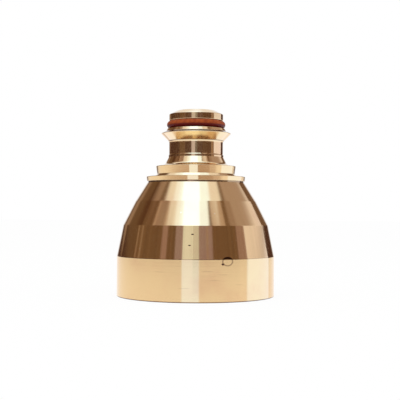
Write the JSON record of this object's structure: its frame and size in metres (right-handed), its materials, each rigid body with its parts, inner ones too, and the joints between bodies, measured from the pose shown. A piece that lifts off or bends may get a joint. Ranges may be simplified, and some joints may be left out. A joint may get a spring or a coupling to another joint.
{
  "type": "plasma torch nozzle",
  "caption": "Turned copper-alloy plasma torch nozzle with an open hollow skirt, stepped domed shoulder, waisted neck, sealing flange and a rubber seal ring at the tip.",
  "frame": {"origin": "centre of the flat base of the skirt, on the part's axis", "axes": "+Z along the part's axis from the open base to the tip; +X and +Y are square to it and equal, because the part is turned"},
  "size_m": [0.028, 0.028, 0.0329],
  "materials": {
    "nozzle_copper": "fine turned, bright, lightly tarnished",
    "seal_rubber": "satin"
  },
  "bodies": {
    "root": {"nozzle_body": "nozzle_copper", "tip_o_ring": "seal_rubber"}
  },
  "joints": []
}
